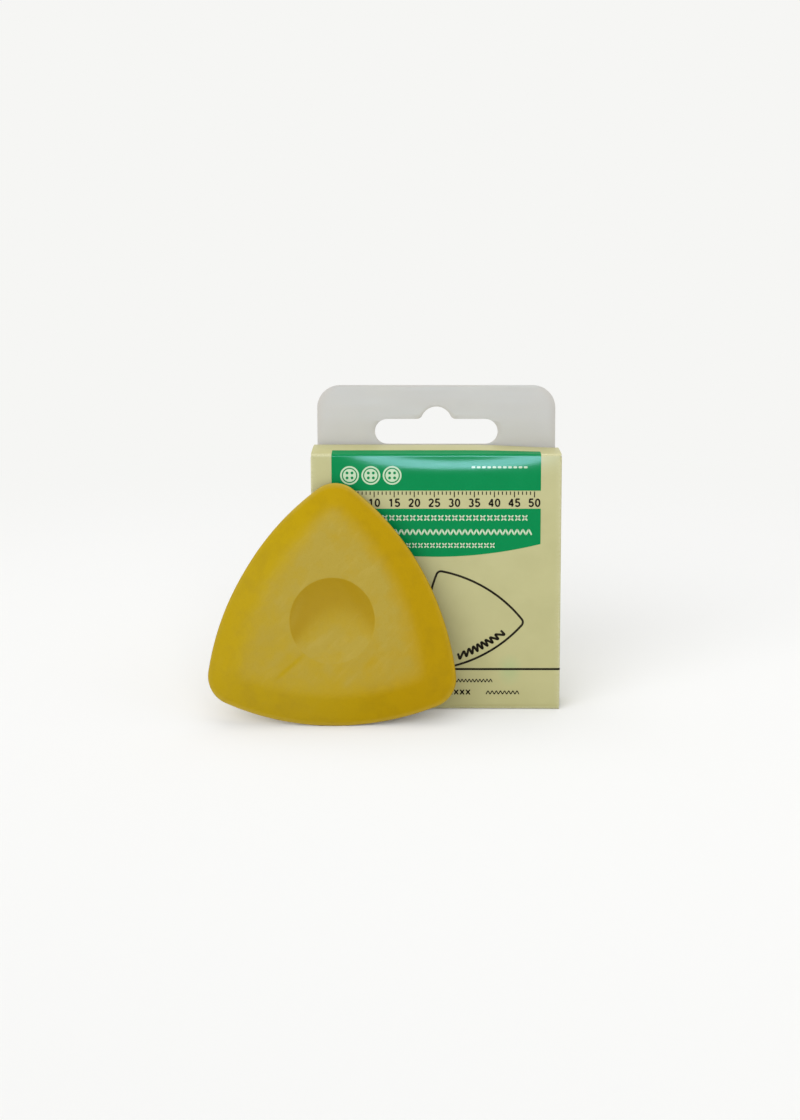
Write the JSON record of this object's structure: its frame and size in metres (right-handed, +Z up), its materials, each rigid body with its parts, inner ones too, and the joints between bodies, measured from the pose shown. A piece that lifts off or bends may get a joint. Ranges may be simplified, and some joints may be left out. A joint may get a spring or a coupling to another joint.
{
  "type": "tailors chalk",
  "caption": "Rounded triangular chalk tablet with bevelled marking edges and thumb dishes, standing against its tuck-end folding carton with a plastic hang tab.",
  "frame": {"origin": "middle of the carton's bottom face, on the surface it stands on", "axes": "+X to the right of the carton's front, +Y from the front panel to the back panel, +Z up"},
  "size_m": [0.0874, 0.0237, 0.0818],
  "materials": {
    "pressed_chalk": "matt pressed yellow chalk, dusty on its flat faces",
    "carton_board": "cream coated carton board, printed outside, with a satin varnish",
    "tab_plastic": "thin translucent grey plastic, satin",
    "adhesive": "clear pressure-sensitive adhesive"
  },
  "bodies": {
    "carton": {"carton_sleeve": "carton_board", "hang_tab": "tab_plastic", "hang_tab_adhesive": "adhesive"},
    "chalk": {"chalk_tablet": "pressed_chalk"},
    "top_lid": {"top_lid": "carton_board"},
    "top_tongue": {"top_tuck_tongue": "carton_board"},
    "top_dust_flap_left": {"top_dust_flap_left": "carton_board"},
    "top_dust_flap_right": {"top_dust_flap_right": "carton_board"},
    "bottom_lid": {"bottom_lid": "carton_board"},
    "bottom_tongue": {"bottom_tuck_tongue": "carton_board"},
    "bottom_dust_flap_left": {"bottom_dust_flap_left": "carton_board"},
    "bottom_dust_flap_right": {"bottom_dust_flap_right": "carton_board"}
  },
  "joints": [
    {"name": "chalk_lift", "type": "slide", "parent": "carton", "child": "chalk", "axis": [0, 0, 1], "range_m": [0, 0.08]},
    {"name": "top_lid_hinge", "type": "hinge", "parent": "carton", "child": "top_lid", "pos_m": [0, -0.0051, 0.0656], "axis": [1, 0, 0], "range_deg": [0, 180]},
    {"name": "top_tongue_crease", "type": "hinge", "parent": "top_lid", "child": "top_tongue", "pos_m": [0, 0.0038, 0.0652], "axis": [1, 0, 0], "range_deg": [-45, 0]},
    {"name": "top_dust_flap_left_hinge", "type": "hinge", "parent": "carton", "child": "top_dust_flap_left", "pos_m": [-0.0313, 0, 0.06514], "axis": [0, -1, 0], "range_deg": [0, 45]},
    {"name": "top_dust_flap_right_hinge", "type": "hinge", "parent": "carton", "child": "top_dust_flap_right", "pos_m": [0.0313, 0, 0.06514], "axis": [0, 1, 0], "range_deg": [0, 45]},
    {"name": "bottom_lid_hinge", "type": "hinge", "parent": "carton", "child": "bottom_lid", "pos_m": [0, -0.0051, 0], "axis": [-1, 0, 0], "range_deg": [0, 180]},
    {"name": "bottom_tongue_crease", "type": "hinge", "parent": "bottom_lid", "child": "bottom_tongue", "pos_m": [0, 0.0038, 0.0004], "axis": [-1, 0, 0], "range_deg": [-45, 0]},
    {"name": "bottom_dust_flap_left_hinge", "type": "hinge", "parent": "carton", "child": "bottom_dust_flap_left", "pos_m": [-0.0313, 0, 0.00046], "axis": [0, 1, 0], "range_deg": [0, 45]},
    {"name": "bottom_dust_flap_right_hinge", "type": "hinge", "parent": "carton", "child": "bottom_dust_flap_right", "pos_m": [0.0313, 0, 0.00046], "axis": [0, -1, 0], "range_deg": [0, 45]}
  ],
  "couplings": [
    {"joint": "top_tongue_crease", "follows": "top_lid_hinge", "ratio": -0.25},
    {"joint": "top_dust_flap_left_hinge", "follows": "top_lid_hinge", "ratio": 0.25},
    {"joint": "top_dust_flap_right_hinge", "follows": "top_lid_hinge", "ratio": 0.25},
    {"joint": "bottom_tongue_crease", "follows": "bottom_lid_hinge", "ratio": -0.25},
    {"joint": "bottom_dust_flap_left_hinge", "follows": "bottom_lid_hinge", "ratio": 0.25},
    {"joint": "bottom_dust_flap_right_hinge", "follows": "bottom_lid_hinge", "ratio": 0.25}
  ]
}
